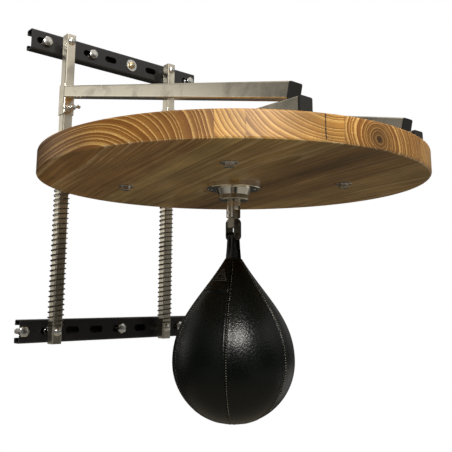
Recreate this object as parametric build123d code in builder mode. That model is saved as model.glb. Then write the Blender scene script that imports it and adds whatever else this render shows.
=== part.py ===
from build123d import *
import math
import os

os.makedirs("parts", exist_ok=True)

# Wall-mounted speed bag platform. Millimetres.
# Origin on the wall, midway between the posts and midway between the two rails.
# +X runs along the wall to the right, +Y into the wall, +Z up.

# ---------------------------------------------------------------- driving dimensions
board_radius = 300.0
board_thickness = 36.0
board_edge_round = 3.0
board_top_z = -1.0
board_back_gap = 29.9           # from the sleeves' front faces to the board's back edge

post_x = 120.0                  # half the distance between the two posts
post_size = 19.0
post_wall = 1.5
post_top_z = 286.0
post_bottom_z = -294.0

rail_length = 396.0
rail_height = 41.0
rail_depth = 21.0
rail_wall = 2.0
rail_lip = 9.5                  # how far each back lip covers the open side
rail_lip_return = 5.0
rail_corner = 3.0
rail_centre_z = 272.5           # both rails, above and below the origin
upper_rail_centre_x = 13.0
lower_rail_centre_x = 24.0
slot_pitch = 50.0
slot_length = 27.0
slot_height = 13.0
slot_count = 8
upper_first_slot_x = -161.0
lower_first_slot_x = -171.0

spacer_length = 16.6            # stands each post off the rail
tube_size = 22.0                # sleeves, beams and braces
tube_wall = 1.5
tube_corner = 2.5
sleeve_wall = 1.2
upper_sleeve_top_z = 185.0
upper_sleeve_height = 59.0
lower_sleeve_height = 42.0
beam_front_reach = 256.0        # beam's front end, forward of the board's centre
brace_toe_reach = 238.0         # where the brace's lower front edge meets the beam
brace_drop_below_sleeve_top = 15.7
beam_cap_thickness = 4.0
brace_cap_thickness = 2.0
cap_plug_length = 12.0
cap_fit = 0.1

spring_outer_radius = 14.6
spring_wire = 1.5
spring_active_turns = 27
spring_sides_per_turn = 8

m8_radius = 4.0
m8_across_flats = 13.0
m8_nut_height = 6.5
m8_head_height = 5.3
m10_radius = 5.0
m10_across_flats = 17.0
m10_head_height = 7.0
hole_clearance = 0.25
dome_head_radius = 8.0
dome_head_height = 5.0
washer_radius = 12.5
washer_thickness = 2.0
wall_bolt_reach = 5.0           # length of each wall bolt beyond the wall plane
upper_wall_bolt_x = (-154.0, -54.0, 196.0)
lower_wall_bolt_x = (-168.0, 33.0, 177.0)
brass_bolt_x = 39.0
board_bolt_spacing_y = 248.0

clamp_drop = 49.0               # clamp screw below the top of the upper sleeve
clamp_hub_radius = 5.5
clamp_hub_length = 12.0
clamp_bar_radius = 2.25
clamp_bar_length = 28.0
clamp_knob_radius = 3.75
clamp_knob_length = 4.5
clamp_bar_angle = {"left": 18.0, "right": -32.0}

flange_radius = 43.0
flange_thickness = 8.0
flange_hole_circle = 73.0
flange_screw_radius = 2.25
flange_screw_head_radius = 4.2
flange_screw_length = 32.0
hub_top_radius = 27.3
hub_bottom_radius = 24.0
hub_height = 9.7
collar_height = 8.3
collar_bore_gap = 1.0           # round the spindle's barrel
collar_round = 3.0
bearing_outer_radius = 17.5
bearing_inner_radius = 8.5
bearing_width = 10.0
bearing_ring_thickness = 4.0
barrel_radius = 11.0
barrel_length = 27.5            # below the collar
fork_slot_width = 12.4
fork_slot_height = 18.5
spindle_nut_height = 5.0

pin_radius = 2.5
pin_running_fit = 0.05
tongue_pin_above_barrel_end = 7.8
tongue_side_gap = 0.4
tongue_depth = 16.2             # block size along Y
tongue_eye_radius = 6.0
tongue_block_top = 9.8          # below the tongue pin
link_pin_drop = 16.8            # upper link pin below the tongue pin
link_pin_pitch = 19.0
tongue_bottom_below_pin = 6.1
link_plate_radius = 7.0
link_plate_thickness = 2.0
link_plate_gap = 0.3
pin_head_radius = 4.0
pin_head_height = 2.5

strap_thickness = 3.4
strap_width = 16.0
strap_pin_gap = 0.3
strap_spread = 9.3              # half width of the loop where it meets the bag
bag_radius = 92.0
bag_widest_z = -305.5
bag_top_z = -154.3
bag_neck_radius = 13.3
bag_bottom_drop = 89.9          # bag bottom below its widest ring
bag_shoulder_pull = 67.9
bag_shoulder_angle = 31.5
bag_belly_pull = 62.8
cover_thickness = 2.5
bladder_gap = 0.5
bladder_thickness = 1.5
valve_radius = 4.0
valve_bore = 1.5

# ---------------------------------------------------------------- derived places
post_centre_y = -(rail_depth + spacer_length + post_size / 2)
post_front_y = post_centre_y - post_size / 2
sleeve_front_y = post_centre_y - tube_size / 2
board_centre_y = sleeve_front_y - board_back_gap - board_radius
beam_front_y = board_centre_y - beam_front_reach
brace_toe_y = board_centre_y - brace_toe_reach
beam_top_z = board_top_z + tube_size
beam_centre_z = board_top_z + tube_size / 2
board_bottom_z = board_top_z - board_thickness
clamp_z = upper_sleeve_top_z - clamp_drop
brace_rear_z = upper_sleeve_top_z - brace_drop_below_sleeve_top
lower_sleeve_bottom_z = beam_centre_z - lower_sleeve_height / 2
web_back_y = -rail_depth + rail_wall
sides = (("left", -post_x), ("right", post_x))

hub_top_z = board_bottom_z - flange_thickness
hub_bottom_z = hub_top_z - hub_height
collar_bottom_z = hub_bottom_z - collar_height
barrel_bottom_z = collar_bottom_z - barrel_length
collar_bore = barrel_radius + collar_bore_gap
tongue_pin_z = barrel_bottom_z + tongue_pin_above_barrel_end
upper_link_pin_z = tongue_pin_z - link_pin_drop
lower_link_pin_z = upper_link_pin_z - link_pin_pitch
swivel_axis = Plane(origin=(0, board_centre_y, 0))


def tube_section(size, wall):
    """Square tube section: a rounded square with a smaller rounded square taken out."""
    RectangleRounded(size, size, tube_corner)
    inside = size - 2 * wall
    RectangleRounded(inside, inside, tube_corner - wall / 2, mode=Mode.SUBTRACT)


def facing_room(x, y, z):
    """Plane at a point with its normal pointing out of the wall, towards -Y."""
    return Plane(origin=(x, y, z), x_dir=(1, 0, 0), z_dir=(0, -1, 0))


# ---------------------------------------------------------------- rails
# Lipped strut channel, open side to the wall, slotted along its web.
rail_post_hole = m8_radius + hole_clearance
for name, centre_x, first_slot_x, centre_z in (
    ("upper_rail", upper_rail_centre_x, upper_first_slot_x, rail_centre_z),
    ("lower_rail", lower_rail_centre_x, lower_first_slot_x, -rail_centre_z),
):
    with BuildPart() as rail:
        with BuildSketch(Plane(origin=(centre_x, 0, centre_z), x_dir=(0, 1, 0), z_dir=(1, 0, 0))):
            with Locations((-rail_depth / 2, 0)):
                RectangleRounded(rail_depth, rail_height, rail_corner)
                Rectangle(
                    rail_depth - 2 * rail_wall, rail_height - 2 * rail_wall, mode=Mode.SUBTRACT
                )
            with Locations((-rail_wall, 0)):
                Rectangle(
                    3 * rail_wall, rail_height - 2 * rail_lip, mode=Mode.SUBTRACT
                )
            for end in (-1, 1):
                lip_edge = end * (rail_height / 2 - rail_lip + rail_wall / 2)
                with Locations((-rail_wall / 2 - rail_lip_return / 2, lip_edge)):
                    Rectangle(rail_lip_return, rail_wall)
        extrude(amount=rail_length / 2, both=True)
        with BuildSketch(facing_room(0, -rail_depth, centre_z)):
            for i in range(slot_count):
                with Locations((first_slot_x + i * slot_pitch, 0)):
                    SlotOverall(slot_length, slot_height)
            for _, x in sides:
                with Locations((x, 0)):
                    Circle(rail_post_hole)
        extrude(amount=-2 * rail_wall, mode=Mode.SUBTRACT)
    rail.part.label = name
    export_step(rail.part, f"parts/{name}.step")

# ---------------------------------------------------------------- posts
# Square tube posts in front of the rails, each drilled for a bolt at both rails.
for side, x in sides:
    with BuildPart() as post:
        with BuildSketch(Plane(origin=(x, post_centre_y, post_bottom_z))):
            tube_section(post_size, post_wall)
        extrude(amount=post_top_z - post_bottom_z)
        for z in (rail_centre_z, -rail_centre_z):
            with BuildSketch(facing_room(x, post_front_y, z)):
                Circle(m8_radius + hole_clearance)
            extrude(amount=-post_size, mode=Mode.SUBTRACT)
    post.part.label = f"{side}_post"
    export_step(post.part, f"parts/{side}_post.step")

post_bolt_places = [(x, z) for _, x in sides for z in (rail_centre_z, -rail_centre_z)]

with BuildPart() as post_spacers:
    for x, z in post_bolt_places:
        with BuildSketch(facing_room(x, -rail_depth, z)):
            RegularPolygon(m8_across_flats / 2, 6, major_radius=False)
            Circle(m8_radius + hole_clearance, mode=Mode.SUBTRACT)
        extrude(amount=spacer_length)
post_spacers.part.label = "post_spacers"
export_step(post_spacers.part, "parts/post_spacers.step")

post_bolt_length = post_size + spacer_length + rail_wall + m8_nut_height + 3.0
with BuildPart() as post_bolts:
    for x, z in post_bolt_places:
        with BuildSketch(Plane(origin=(x, post_front_y, z), x_dir=(1, 0, 0), z_dir=(0, 0, 1))):
            with BuildLine():
                crown = (0, -dome_head_height)
                rim = (dome_head_radius, 0)
                half = math.radians(45)
                mid = (dome_head_radius * math.sin(half), -dome_head_height * math.cos(half))
                ThreePointArc(crown, mid, rim)
                Polyline(rim, (m8_radius, 0), (m8_radius, post_bolt_length),
                         (0, post_bolt_length), crown)
            make_face()
        revolve(axis=Axis((x, post_front_y, z), (0, 1, 0)))
post_bolts.part.label = "post_bolts"
export_step(post_bolts.part, "parts/post_bolts.step")

with BuildPart() as post_nuts:
    for x, z in post_bolt_places:
        with BuildSketch(facing_room(x, web_back_y, z)):
            RegularPolygon(m8_across_flats / 2, 6, major_radius=False)
            Circle(m8_radius, mode=Mode.SUBTRACT)
        extrude(amount=-m8_nut_height)
post_nuts.part.label = "post_nuts"
export_step(post_nuts.part, "parts/post_nuts.step")

# ---------------------------------------------------------------- wall bolts
# Hex bolts through the rail slots; their shanks stand out behind the rails.
for name, bolt_xs, z in (
    ("upper_wall_bolts", upper_wall_bolt_x, rail_centre_z),
    ("lower_wall_bolts", lower_wall_bolt_x, -rail_centre_z),
):
    with BuildPart() as wall_bolts:
        for x in bolt_xs:
            with BuildSketch(facing_room(x, -rail_depth, z)):
                RegularPolygon(m10_across_flats / 2, 6, major_radius=False)
            extrude(amount=m10_head_height)
            with BuildSketch(facing_room(x, -rail_depth, z)):
                Circle(m10_radius)
            extrude(amount=-(rail_depth + wall_bolt_reach))
        chamfer(
            wall_bolts.edges().filter_by(GeomType.CIRCLE).group_by(Axis.Y)[-1], length=1.5
        )
    wall_bolts.part.label = name
    export_step(wall_bolts.part, f"parts/{name}.step")

# A domed brass bolt on a wide washer, in the middle of the upper rail.
with BuildPart() as brass_washer:
    with BuildSketch(facing_room(brass_bolt_x, -rail_depth, rail_centre_z)):
        Circle(washer_radius)
        Circle(m10_radius + hole_clearance, mode=Mode.SUBTRACT)
    extrude(amount=washer_thickness)
brass_washer.part.label = "brass_washer"
export_step(brass_washer.part, "parts/brass_washer.step")

brass_seat_y = -rail_depth - washer_thickness
with BuildPart() as brass_bolt:
    with BuildSketch(Plane(origin=(brass_bolt_x, brass_seat_y, rail_centre_z))):
        with BuildLine():
            crown = (0, -dome_head_height)
            rim = (dome_head_radius, 0)
            half = math.radians(45)
            mid = (dome_head_radius * math.sin(half), -dome_head_height * math.cos(half))
            ThreePointArc(crown, mid, rim)
            shank_end = wall_bolt_reach - brass_seat_y
            Polyline(rim, (m10_radius, 0), (m10_radius, shank_end), (0, shank_end), crown)
        make_face()
    revolve(axis=Axis((brass_bolt_x, brass_seat_y, rail_centre_z), (0, 1, 0)))
brass_bolt.part.label = "brass_bolt"
export_step(brass_bolt.part, "parts/brass_bolt.step")

# ---------------------------------------------------------------- springs
# Round-wire compression spring on each post. The first and last turns lie closed,
# wire on wire; the turns between share the rest of the height evenly.
spring_foot_z = -rail_centre_z + dome_head_radius
spring_head_z = lower_sleeve_bottom_z
spring_coil_radius = spring_outer_radius - spring_wire / 2
closed_rise = 1.04 * spring_wire
active_rise = (
    spring_head_z - spring_foot_z - spring_wire - 2 * closed_rise
) / spring_active_turns
spring_turns = spring_active_turns + 2


def spring_point(x, step):
    """Point of the wire's centre line after a number of equal steps round the coil."""
    turn = step / spring_sides_per_turn
    closed_below = min(turn, 1.0)
    active = min(max(turn - 1.0, 0.0), spring_active_turns)
    closed_above = max(turn - 1.0 - spring_active_turns, 0.0)
    rise = closed_rise * (closed_below + closed_above) + active_rise * active
    angle = 2 * math.pi * turn
    return Vector(
        x + spring_coil_radius * math.cos(angle),
        post_centre_y + spring_coil_radius * math.sin(angle),
        spring_foot_z + spring_wire / 2 + rise,
    )


for side, x in sides:
    steps = spring_turns * spring_sides_per_turn
    wire_points = [spring_point(x, i) for i in range(steps + 1)]
    with BuildPart() as spring:
        with BuildLine() as wire_path:
            Polyline(*wire_points)
        start = Plane(origin=wire_points[0], z_dir=wire_points[1] - wire_points[0])
        with BuildSketch(start):
            RegularPolygon(spring_wire / 2, 6)
        sweep(path=wire_path.line, transition=Transition.RIGHT)
    spring.part.label = f"{side}_spring"
    export_step(spring.part, f"parts/{side}_spring.step")

# ---------------------------------------------------------------- sleeves
# Short square tubes that slide on the posts; the upper ones carry the clamp screw.
for side, x in sides:
    with BuildPart() as upper_sleeve:
        with BuildSketch(Plane(origin=(x, post_centre_y, upper_sleeve_top_z))):
            tube_section(tube_size, sleeve_wall)
        extrude(amount=-upper_sleeve_height)
        with BuildSketch(facing_room(x, sleeve_front_y, clamp_z)):
            Circle(m8_radius + hole_clearance)
        extrude(amount=-2 * sleeve_wall, mode=Mode.SUBTRACT)
    upper_sleeve.part.label = f"{side}_upper_sleeve"
    export_step(upper_sleeve.part, f"parts/{side}_upper_sleeve.step")

    with BuildPart() as lower_sleeve:
        with BuildSketch(Plane(origin=(x, post_centre_y, lower_sleeve_bottom_z))):
            tube_section(tube_size, sleeve_wall)
        extrude(amount=lower_sleeve_height)
    lower_sleeve.part.label = f"{side}_lower_sleeve"
    export_step(lower_sleeve.part, f"parts/{side}_lower_sleeve.step")

# ---------------------------------------------------------------- beams
# Two tubes along the board's top, welded to the lower sleeves and bolted to the board.
board_bolt_ys = [board_centre_y + s * board_bolt_spacing_y / 2 for s in (-1, 1)]
for side, x in sides:
    with BuildPart() as beam:
        with BuildSketch(facing_room(x, sleeve_front_y, beam_centre_z)):
            tube_section(tube_size, tube_wall)
        extrude(amount=sleeve_front_y - beam_front_y)
        for y in board_bolt_ys:
            with BuildSketch(Plane(origin=(x, y, board_top_z))):
                Circle(m8_radius + hole_clearance)
            extrude(amount=tube_size, mode=Mode.SUBTRACT)
    beam.part.label = f"{side}_beam"
    export_step(beam.part, f"parts/{side}_beam.step")

# ---------------------------------------------------------------- braces
# Each brace runs from the upper sleeve down to the front of its beam. The angle is the
# one at which its lower face reaches the beam's top at the toe.
brace_run = sleeve_front_y - brace_toe_y
brace_fall = brace_rear_z - beam_top_z
brace_angle = math.atan2(brace_fall, brace_run) - math.asin(
    (tube_size / 2) / math.hypot(brace_run, brace_fall)
)
brace_along = Vector(0, -math.cos(brace_angle), -math.sin(brace_angle))
brace_down = Vector(0, math.sin(brace_angle), -math.cos(brace_angle))
brace_overrun = tube_size
for side, x in sides:
    brace_end = Vector(x, brace_toe_y, beam_top_z) - brace_down * (tube_size / 2)
    brace_length = (brace_end - Vector(x, sleeve_front_y, brace_rear_z)).length
    end_plane = Plane(origin=brace_end, x_dir=(1, 0, 0), z_dir=brace_along)
    with BuildPart() as brace:
        with BuildSketch(end_plane):
            tube_section(tube_size, tube_wall)
        extrude(amount=-(brace_length + brace_overrun))
        split(bisect_by=facing_room(x, sleeve_front_y, 0), keep=Keep.TOP)
    brace.part.label = f"{side}_brace"
    export_step(brace.part, f"parts/{side}_brace.step")

# ---------------------------------------------------------------- end caps
# Plastic caps: a square head over the tube's end and a plug inside it.
plug_size = tube_size - 2 * tube_wall - 2 * cap_fit
for name, thickness in (("beam_caps", beam_cap_thickness), ("brace_caps", brace_cap_thickness)):
    with BuildPart() as caps:
        for _, x in sides:
            if name == "beam_caps":
                seat = facing_room(x, beam_front_y, beam_centre_z)
            else:
                brace_end = Vector(x, brace_toe_y, beam_top_z) - brace_down * (tube_size / 2)
                seat = Plane(origin=brace_end, x_dir=(1, 0, 0), z_dir=brace_along)
            with BuildSketch(seat):
                RectangleRounded(tube_size, tube_size, tube_corner)
            extrude(amount=thickness)
            with BuildSketch(seat):
                RectangleRounded(plug_size, plug_size, tube_corner - tube_wall / 2)
            extrude(amount=-cap_plug_length)
        if name == "brace_caps":
            split(bisect_by=Plane.XY.offset(beam_top_z), keep=Keep.TOP)
    caps.part.label = name
    export_step(caps.part, f"parts/{name}.step")

# ---------------------------------------------------------------- clamps
# A nut welded to each upper sleeve takes a T-handled screw that bears on the post.
with BuildPart() as clamp_nuts:
    for _, x in sides:
        with BuildSketch(facing_room(x, sleeve_front_y, clamp_z)):
            RegularPolygon(m8_across_flats / 2, 6, major_radius=False)
            Circle(m8_radius + pin_running_fit, mode=Mode.SUBTRACT)
        extrude(amount=m8_nut_height)
clamp_nuts.part.label = "clamp_nuts"
export_step(clamp_nuts.part, "parts/clamp_nuts.step")

clamp_hub_y = sleeve_front_y - m8_nut_height - 1.0
clamp_bar_y = clamp_hub_y - clamp_hub_length / 2
for side, x in sides:
    tilt = math.radians(clamp_bar_angle[side])
    bar_dir = Vector(math.cos(tilt), 0, math.sin(tilt))
    bar_middle = Vector(x, clamp_bar_y, clamp_z)
    bar_plane = Plane(origin=bar_middle, z_dir=bar_dir)
    with BuildPart() as clamp_screw:
        with BuildSketch(facing_room(x, post_front_y, clamp_z)):
            Circle(m8_radius)
        extrude(amount=post_front_y - clamp_hub_y)
        with BuildSketch(facing_room(x, clamp_hub_y, clamp_z)):
            Circle(clamp_hub_radius)
        extrude(amount=clamp_hub_length)
        chamfer(clamp_screw.edges().group_by(Axis.Y)[0], length=1.5)
        with BuildSketch(bar_plane):
            Circle(clamp_bar_radius)
        extrude(amount=2 * clamp_hub_radius, both=True, mode=Mode.SUBTRACT)
    clamp_screw.part.label = f"{side}_clamp_screw"
    export_step(clamp_screw.part, f"parts/{side}_clamp_screw.step")

    with BuildPart() as clamp_bar:
        with BuildSketch(bar_plane):
            Circle(clamp_bar_radius)
        extrude(amount=clamp_bar_length / 2, both=True)
        for end in (-1, 1):
            with BuildSketch(bar_plane.offset(end * clamp_bar_length / 2)):
                Circle(clamp_knob_radius)
            extrude(amount=clamp_knob_length / 2, both=True)
    clamp_bar.part.label = f"{side}_clamp_bar"
    export_step(clamp_bar.part, f"parts/{side}_clamp_bar.step")

# ---------------------------------------------------------------- board
screw_offset = flange_hole_circle / 2 / math.sqrt(2)
screw_places = [
    (sx * screw_offset, board_centre_y + sy * screw_offset) for sx in (-1, 1) for sy in (-1, 1)
]
with BuildPart() as board:
    with BuildSketch(Plane(origin=(0, board_centre_y, board_bottom_z))):
        Circle(board_radius)
    extrude(amount=board_thickness)
    fillet(board.edges().filter_by(GeomType.CIRCLE), radius=board_edge_round)
    with BuildSketch(Plane.XY.offset(board_bottom_z)):
        for _, x in sides:
            for y in board_bolt_ys:
                with Locations((x, y)):
                    Circle(m8_radius + hole_clearance)
    extrude(amount=board_thickness, mode=Mode.SUBTRACT)
    with BuildSketch(Plane.XY.offset(board_bottom_z)):
        with Locations(*screw_places):
            Circle(flange_screw_radius)
    extrude(amount=flange_screw_length - flange_thickness, mode=Mode.SUBTRACT)
board.part.label = "board"
export_step(board.part, "parts/board.step")

with BuildPart() as board_washers:
    for _, x in sides:
        for y in board_bolt_ys:
            with BuildSketch(Plane(origin=(x, y, board_bottom_z))):
                Circle(washer_radius)
                Circle(m8_radius + hole_clearance, mode=Mode.SUBTRACT)
            extrude(amount=-washer_thickness)
board_washers.part.label = "board_washers"
export_step(board_washers.part, "parts/board_washers.step")

board_bolt_seat_z = board_bottom_z - washer_thickness
board_bolt_top_z = beam_top_z + m8_nut_height + 4.0
with BuildPart() as board_bolts:
    for _, x in sides:
        for y in board_bolt_ys:
            with BuildSketch(Plane(origin=(x, y, board_bolt_seat_z))):
                RegularPolygon(m8_across_flats / 2, 6, major_radius=False)
            extrude(amount=-m8_head_height)
            with BuildSketch(Plane(origin=(x, y, board_bolt_seat_z))):
                Circle(m8_radius)
            extrude(amount=board_bolt_top_z - board_bolt_seat_z)
board_bolts.part.label = "board_bolts"
export_step(board_bolts.part, "parts/board_bolts.step")

with BuildPart() as board_nuts:
    for _, x in sides:
        for y in board_bolt_ys:
            with BuildSketch(Plane(origin=(x, y, beam_top_z))):
                RegularPolygon(m8_across_flats / 2, 6, major_radius=False)
                Circle(m8_radius, mode=Mode.SUBTRACT)
            extrude(amount=m8_nut_height)
board_nuts.part.label = "board_nuts"
export_step(board_nuts.part, "parts/board_nuts.step")

# ---------------------------------------------------------------- swivel housing
# A turned flange and hub, screwed to the board, with a pocket for the ball bearing.
bearing_bottom_z = hub_bottom_z
bearing_top_z = bearing_bottom_z + bearing_width
nut_pocket_radius = bearing_outer_radius - bearing_ring_thickness
with BuildPart() as swivel_flange:
    with BuildSketch(Plane.XZ.offset(-board_centre_y)):
        with BuildLine():
            Polyline(
                (nut_pocket_radius, board_bottom_z),
                (flange_radius, board_bottom_z),
                (flange_radius, hub_top_z + 1.0),
                (flange_radius - 1.0, hub_top_z),
                (hub_top_radius, hub_top_z),
                (hub_bottom_radius, hub_bottom_z),
                (bearing_outer_radius, hub_bottom_z),
                (bearing_outer_radius, bearing_top_z),
                (nut_pocket_radius, bearing_top_z),
                (nut_pocket_radius, board_bottom_z),
            )
        make_face()
    revolve(axis=Axis((0, board_centre_y, 0), (0, 0, 1)))
    with Locations(Plane(origin=(0, board_centre_y, hub_top_z), x_dir=(1, 0, 0), z_dir=(0, 0, -1))):
        with Locations(*[(x, y - board_centre_y) for x, y in screw_places]):
            CounterSinkHole(
                flange_screw_radius, flange_screw_head_radius, depth=flange_thickness,
                counter_sink_angle=90,
            )
swivel_flange.part.label = "swivel_flange"
export_step(swivel_flange.part, "parts/swivel_flange.step")

screw_cone_height = flange_screw_head_radius - flange_screw_radius
with BuildPart() as flange_screws:
    for x, y in screw_places:
        with BuildSketch(Plane(origin=(x, y, hub_top_z), x_dir=(1, 0, 0), z_dir=(0, -1, 0))):
            with BuildLine():
                Polyline(
                    (0, 0),
                    (flange_screw_head_radius, 0),
                    (flange_screw_radius, screw_cone_height),
                    (flange_screw_radius, flange_screw_length),
                    (0, flange_screw_length),
                    (0, 0),
                )
            make_face()
        revolve(axis=Axis((x, y, 0), (0, 0, 1)))
flange_screws.part.label = "flange_screws"
export_step(flange_screws.part, "parts/flange_screws.step")

with BuildPart() as swivel_collar:
    with BuildSketch(swivel_axis.offset(hub_bottom_z)):
        Circle(hub_bottom_radius)
        Circle(collar_bore, mode=Mode.SUBTRACT)
    extrude(amount=-collar_height)
    outer_bottom_edge = (
        swivel_collar.edges().filter_by(GeomType.CIRCLE).group_by(Axis.Z)[0]
        .sort_by(SortBy.RADIUS)[-1]
    )
    fillet(outer_bottom_edge, radius=collar_round)
swivel_collar.part.label = "swivel_collar"
export_step(swivel_collar.part, "parts/swivel_collar.step")

with BuildPart() as bearing_outer_ring:
    with BuildSketch(swivel_axis.offset(bearing_bottom_z)):
        Circle(bearing_outer_radius)
        Circle(bearing_outer_radius - bearing_ring_thickness, mode=Mode.SUBTRACT)
    extrude(amount=bearing_width)
bearing_outer_ring.part.label = "bearing_outer_ring"
export_step(bearing_outer_ring.part, "parts/bearing_outer_ring.step")

with BuildPart() as bearing_inner_ring:
    with BuildSketch(swivel_axis.offset(bearing_bottom_z)):
        Circle(bearing_inner_radius + bearing_ring_thickness)
        Circle(bearing_inner_radius, mode=Mode.SUBTRACT)
    extrude(amount=bearing_width)
bearing_inner_ring.part.label = "bearing_inner_ring"
export_step(bearing_inner_ring.part, "parts/bearing_inner_ring.step")

# ---------------------------------------------------------------- spindle
# The stem hangs in the bearing from a nut; the barrel below it is slotted as a fork.
spindle_top_z = bearing_top_z + spindle_nut_height
with BuildPart() as spindle:
    with BuildSketch(swivel_axis.offset(barrel_bottom_z)):
        Circle(barrel_radius)
    extrude(amount=bearing_bottom_z - barrel_bottom_z)
    chamfer(spindle.edges().group_by(Axis.Z)[0], length=0.8)
    with BuildSketch(swivel_axis.offset(bearing_bottom_z)):
        Circle(bearing_inner_radius)
    extrude(amount=spindle_top_z - bearing_bottom_z)
    with BuildSketch(swivel_axis.offset(barrel_bottom_z)):
        Rectangle(fork_slot_width, 2 * barrel_radius)
    extrude(amount=fork_slot_height, mode=Mode.SUBTRACT)
    with BuildSketch(Plane(origin=(0, board_centre_y, tongue_pin_z), z_dir=(1, 0, 0))):
        Circle(pin_radius)
    extrude(amount=barrel_radius, both=True, mode=Mode.SUBTRACT)
spindle.part.label = "spindle"
export_step(spindle.part, "parts/spindle.step")

with BuildPart() as spindle_nut:
    with BuildSketch(swivel_axis.offset(bearing_top_z)):
        RegularPolygon(nut_pocket_radius - 1.5, 6)
        Circle(bearing_inner_radius, mode=Mode.SUBTRACT)
    extrude(amount=spindle_nut_height)
spindle_nut.part.label = "spindle_nut"
export_step(spindle_nut.part, "parts/spindle_nut.step")

with BuildPart() as tongue_pin:
    with BuildSketch(Plane(origin=(0, board_centre_y, tongue_pin_z), z_dir=(1, 0, 0))):
        Circle(pin_radius)
    extrude(amount=barrel_radius - 0.4, both=True)
tongue_pin.part.label = "tongue_pin"
export_step(tongue_pin.part, "parts/tongue_pin.step")

# ---------------------------------------------------------------- tongue
# Flat eye in the fork, widening to a block that the link plates hold from both sides.
tongue_width = fork_slot_width - 2 * tongue_side_gap
block_top_z = tongue_pin_z - tongue_block_top
block_bottom_z = upper_link_pin_z - tongue_bottom_below_pin
with BuildPart() as tongue:
    with BuildSketch(Plane(origin=(0, board_centre_y, 0), x_dir=(0, 1, 0), z_dir=(1, 0, 0))):
        with Locations((0, tongue_pin_z)):
            Circle(tongue_eye_radius)
        with Locations((0, (tongue_pin_z + block_top_z) / 2)):
            Rectangle(2 * tongue_eye_radius, tongue_pin_z - block_top_z)
        with Locations((0, (block_top_z + block_bottom_z) / 2)):
            Rectangle(tongue_depth, block_top_z - block_bottom_z)
        with Locations((0, tongue_pin_z)):
            Circle(pin_radius + pin_running_fit, mode=Mode.SUBTRACT)
    extrude(amount=tongue_width / 2, both=True)
    with BuildSketch(facing_room(0, board_centre_y, upper_link_pin_z)):
        Circle(pin_radius + pin_running_fit)
    extrude(amount=tongue_depth, both=True, mode=Mode.SUBTRACT)
tongue.part.label = "tongue"
export_step(tongue.part, "parts/tongue.step")

# ---------------------------------------------------------------- link
# Two round-ended plates and two headed pins; the lower pin carries the bag's loop.
plate_inner = tongue_depth / 2 + link_plate_gap
plate_outer = plate_inner + link_plate_thickness
link_middle_z = (upper_link_pin_z + lower_link_pin_z) / 2
for name, inner_y, outward in (
    ("front_link_plate", board_centre_y - plate_inner, 1),
    ("rear_link_plate", board_centre_y + plate_inner, -1),
):
    with BuildPart() as link_plate:
        with BuildSketch(facing_room(0, inner_y, link_middle_z)):
            SlotCenterToCenter(link_pin_pitch, 2 * link_plate_radius, rotation=90)
            with Locations((0, link_pin_pitch / 2), (0, -link_pin_pitch / 2)):
                Circle(pin_radius, mode=Mode.SUBTRACT)
        extrude(amount=outward * link_plate_thickness)
    link_plate.part.label = name
    export_step(link_plate.part, f"parts/{name}.step")

for name, z in (("upper_link_pin", upper_link_pin_z), ("lower_link_pin", lower_link_pin_z)):
    with BuildPart() as link_pin:
        with BuildSketch(facing_room(0, board_centre_y, z)):
            Circle(pin_radius)
        extrude(amount=plate_outer, both=True)
        for outward in (-1, 1):
            with BuildSketch(facing_room(0, board_centre_y - outward * plate_outer, z)):
                Circle(pin_head_radius)
            extrude(amount=outward * pin_head_height)
        head_rims = link_pin.edges().filter_by(GeomType.CIRCLE).group_by(Axis.Y)
        chamfer(head_rims[0] + head_rims[-1], length=pin_head_height * 0.5)
    link_pin.part.label = name
    export_step(link_pin.part, f"parts/{name}.step")

# ---------------------------------------------------------------- leather loop
# A strap folded over the lower pin; its two legs spread to the bag's neck.
loop_inner = pin_radius + strap_pin_gap
loop_outer = loop_inner + strap_thickness
leg_drop = lower_link_pin_z - bag_top_z


def tangent_side(radius, foot_x):
    """Where a line from (foot_x, -leg_drop) touches the circle round the pin."""
    reach = math.hypot(foot_x, leg_drop)
    heading = math.atan2(-leg_drop, foot_x)
    angle = heading + math.acos(radius / reach)
    return (radius * math.cos(angle), radius * math.sin(angle))


with BuildPart() as leather_loop:
    with BuildSketch(facing_room(0, board_centre_y, lower_link_pin_z)):
        with BuildLine():
            touch = tangent_side(loop_outer, strap_spread)
            ThreePointArc((-touch[0], touch[1]), (0, loop_outer), touch)
            Polyline(
                touch, (strap_spread, -leg_drop), (-strap_spread, -leg_drop),
                (-touch[0], touch[1]),
            )
        make_face()
        with BuildLine():
            inner_foot = strap_spread - strap_thickness
            touch = tangent_side(loop_inner, inner_foot)
            ThreePointArc((-touch[0], touch[1]), (0, loop_inner), touch)
            Polyline(
                touch, (inner_foot, -leg_drop), (-inner_foot, -leg_drop),
                (-touch[0], touch[1]),
            )
        make_face(mode=Mode.SUBTRACT)
    extrude(amount=strap_width / 2, both=True)
leather_loop.part.label = "leather_loop"
export_step(leather_loop.part, "parts/leather_loop.step")


# ---------------------------------------------------------------- bag
def bag_outline(inset):
    """Half outline of the bag, drawn a given distance inside its skin: a shoulder curve
    that leaves the neck on a slope and reaches the belly upright, then a quarter oval."""
    neck = Vector(bag_neck_radius - inset, bag_top_z - inset)
    belly = Vector(bag_radius - inset, bag_widest_z)
    slope = math.radians(bag_shoulder_angle)
    pull = Vector(math.sin(slope), -math.cos(slope)) * bag_shoulder_pull
    Bezier(neck, neck + pull, belly + Vector(0, bag_belly_pull), belly)
    EllipticalCenterArc(
        (0, bag_widest_z), bag_radius - inset, bag_bottom_drop - inset,
        start_angle=270, arc_size=90,
    )
    bottom = (0, bag_widest_z - bag_bottom_drop + inset)
    Polyline(bottom, (0, bag_top_z - inset), neck)


bag_plane = Plane(origin=(0, board_centre_y, 0), x_dir=(1, 0, 0), z_dir=(0, -1, 0))
bag_axis = Axis((0, board_centre_y, 0), (0, 0, 1))
bag_bottom_z = bag_widest_z - bag_bottom_drop

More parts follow.
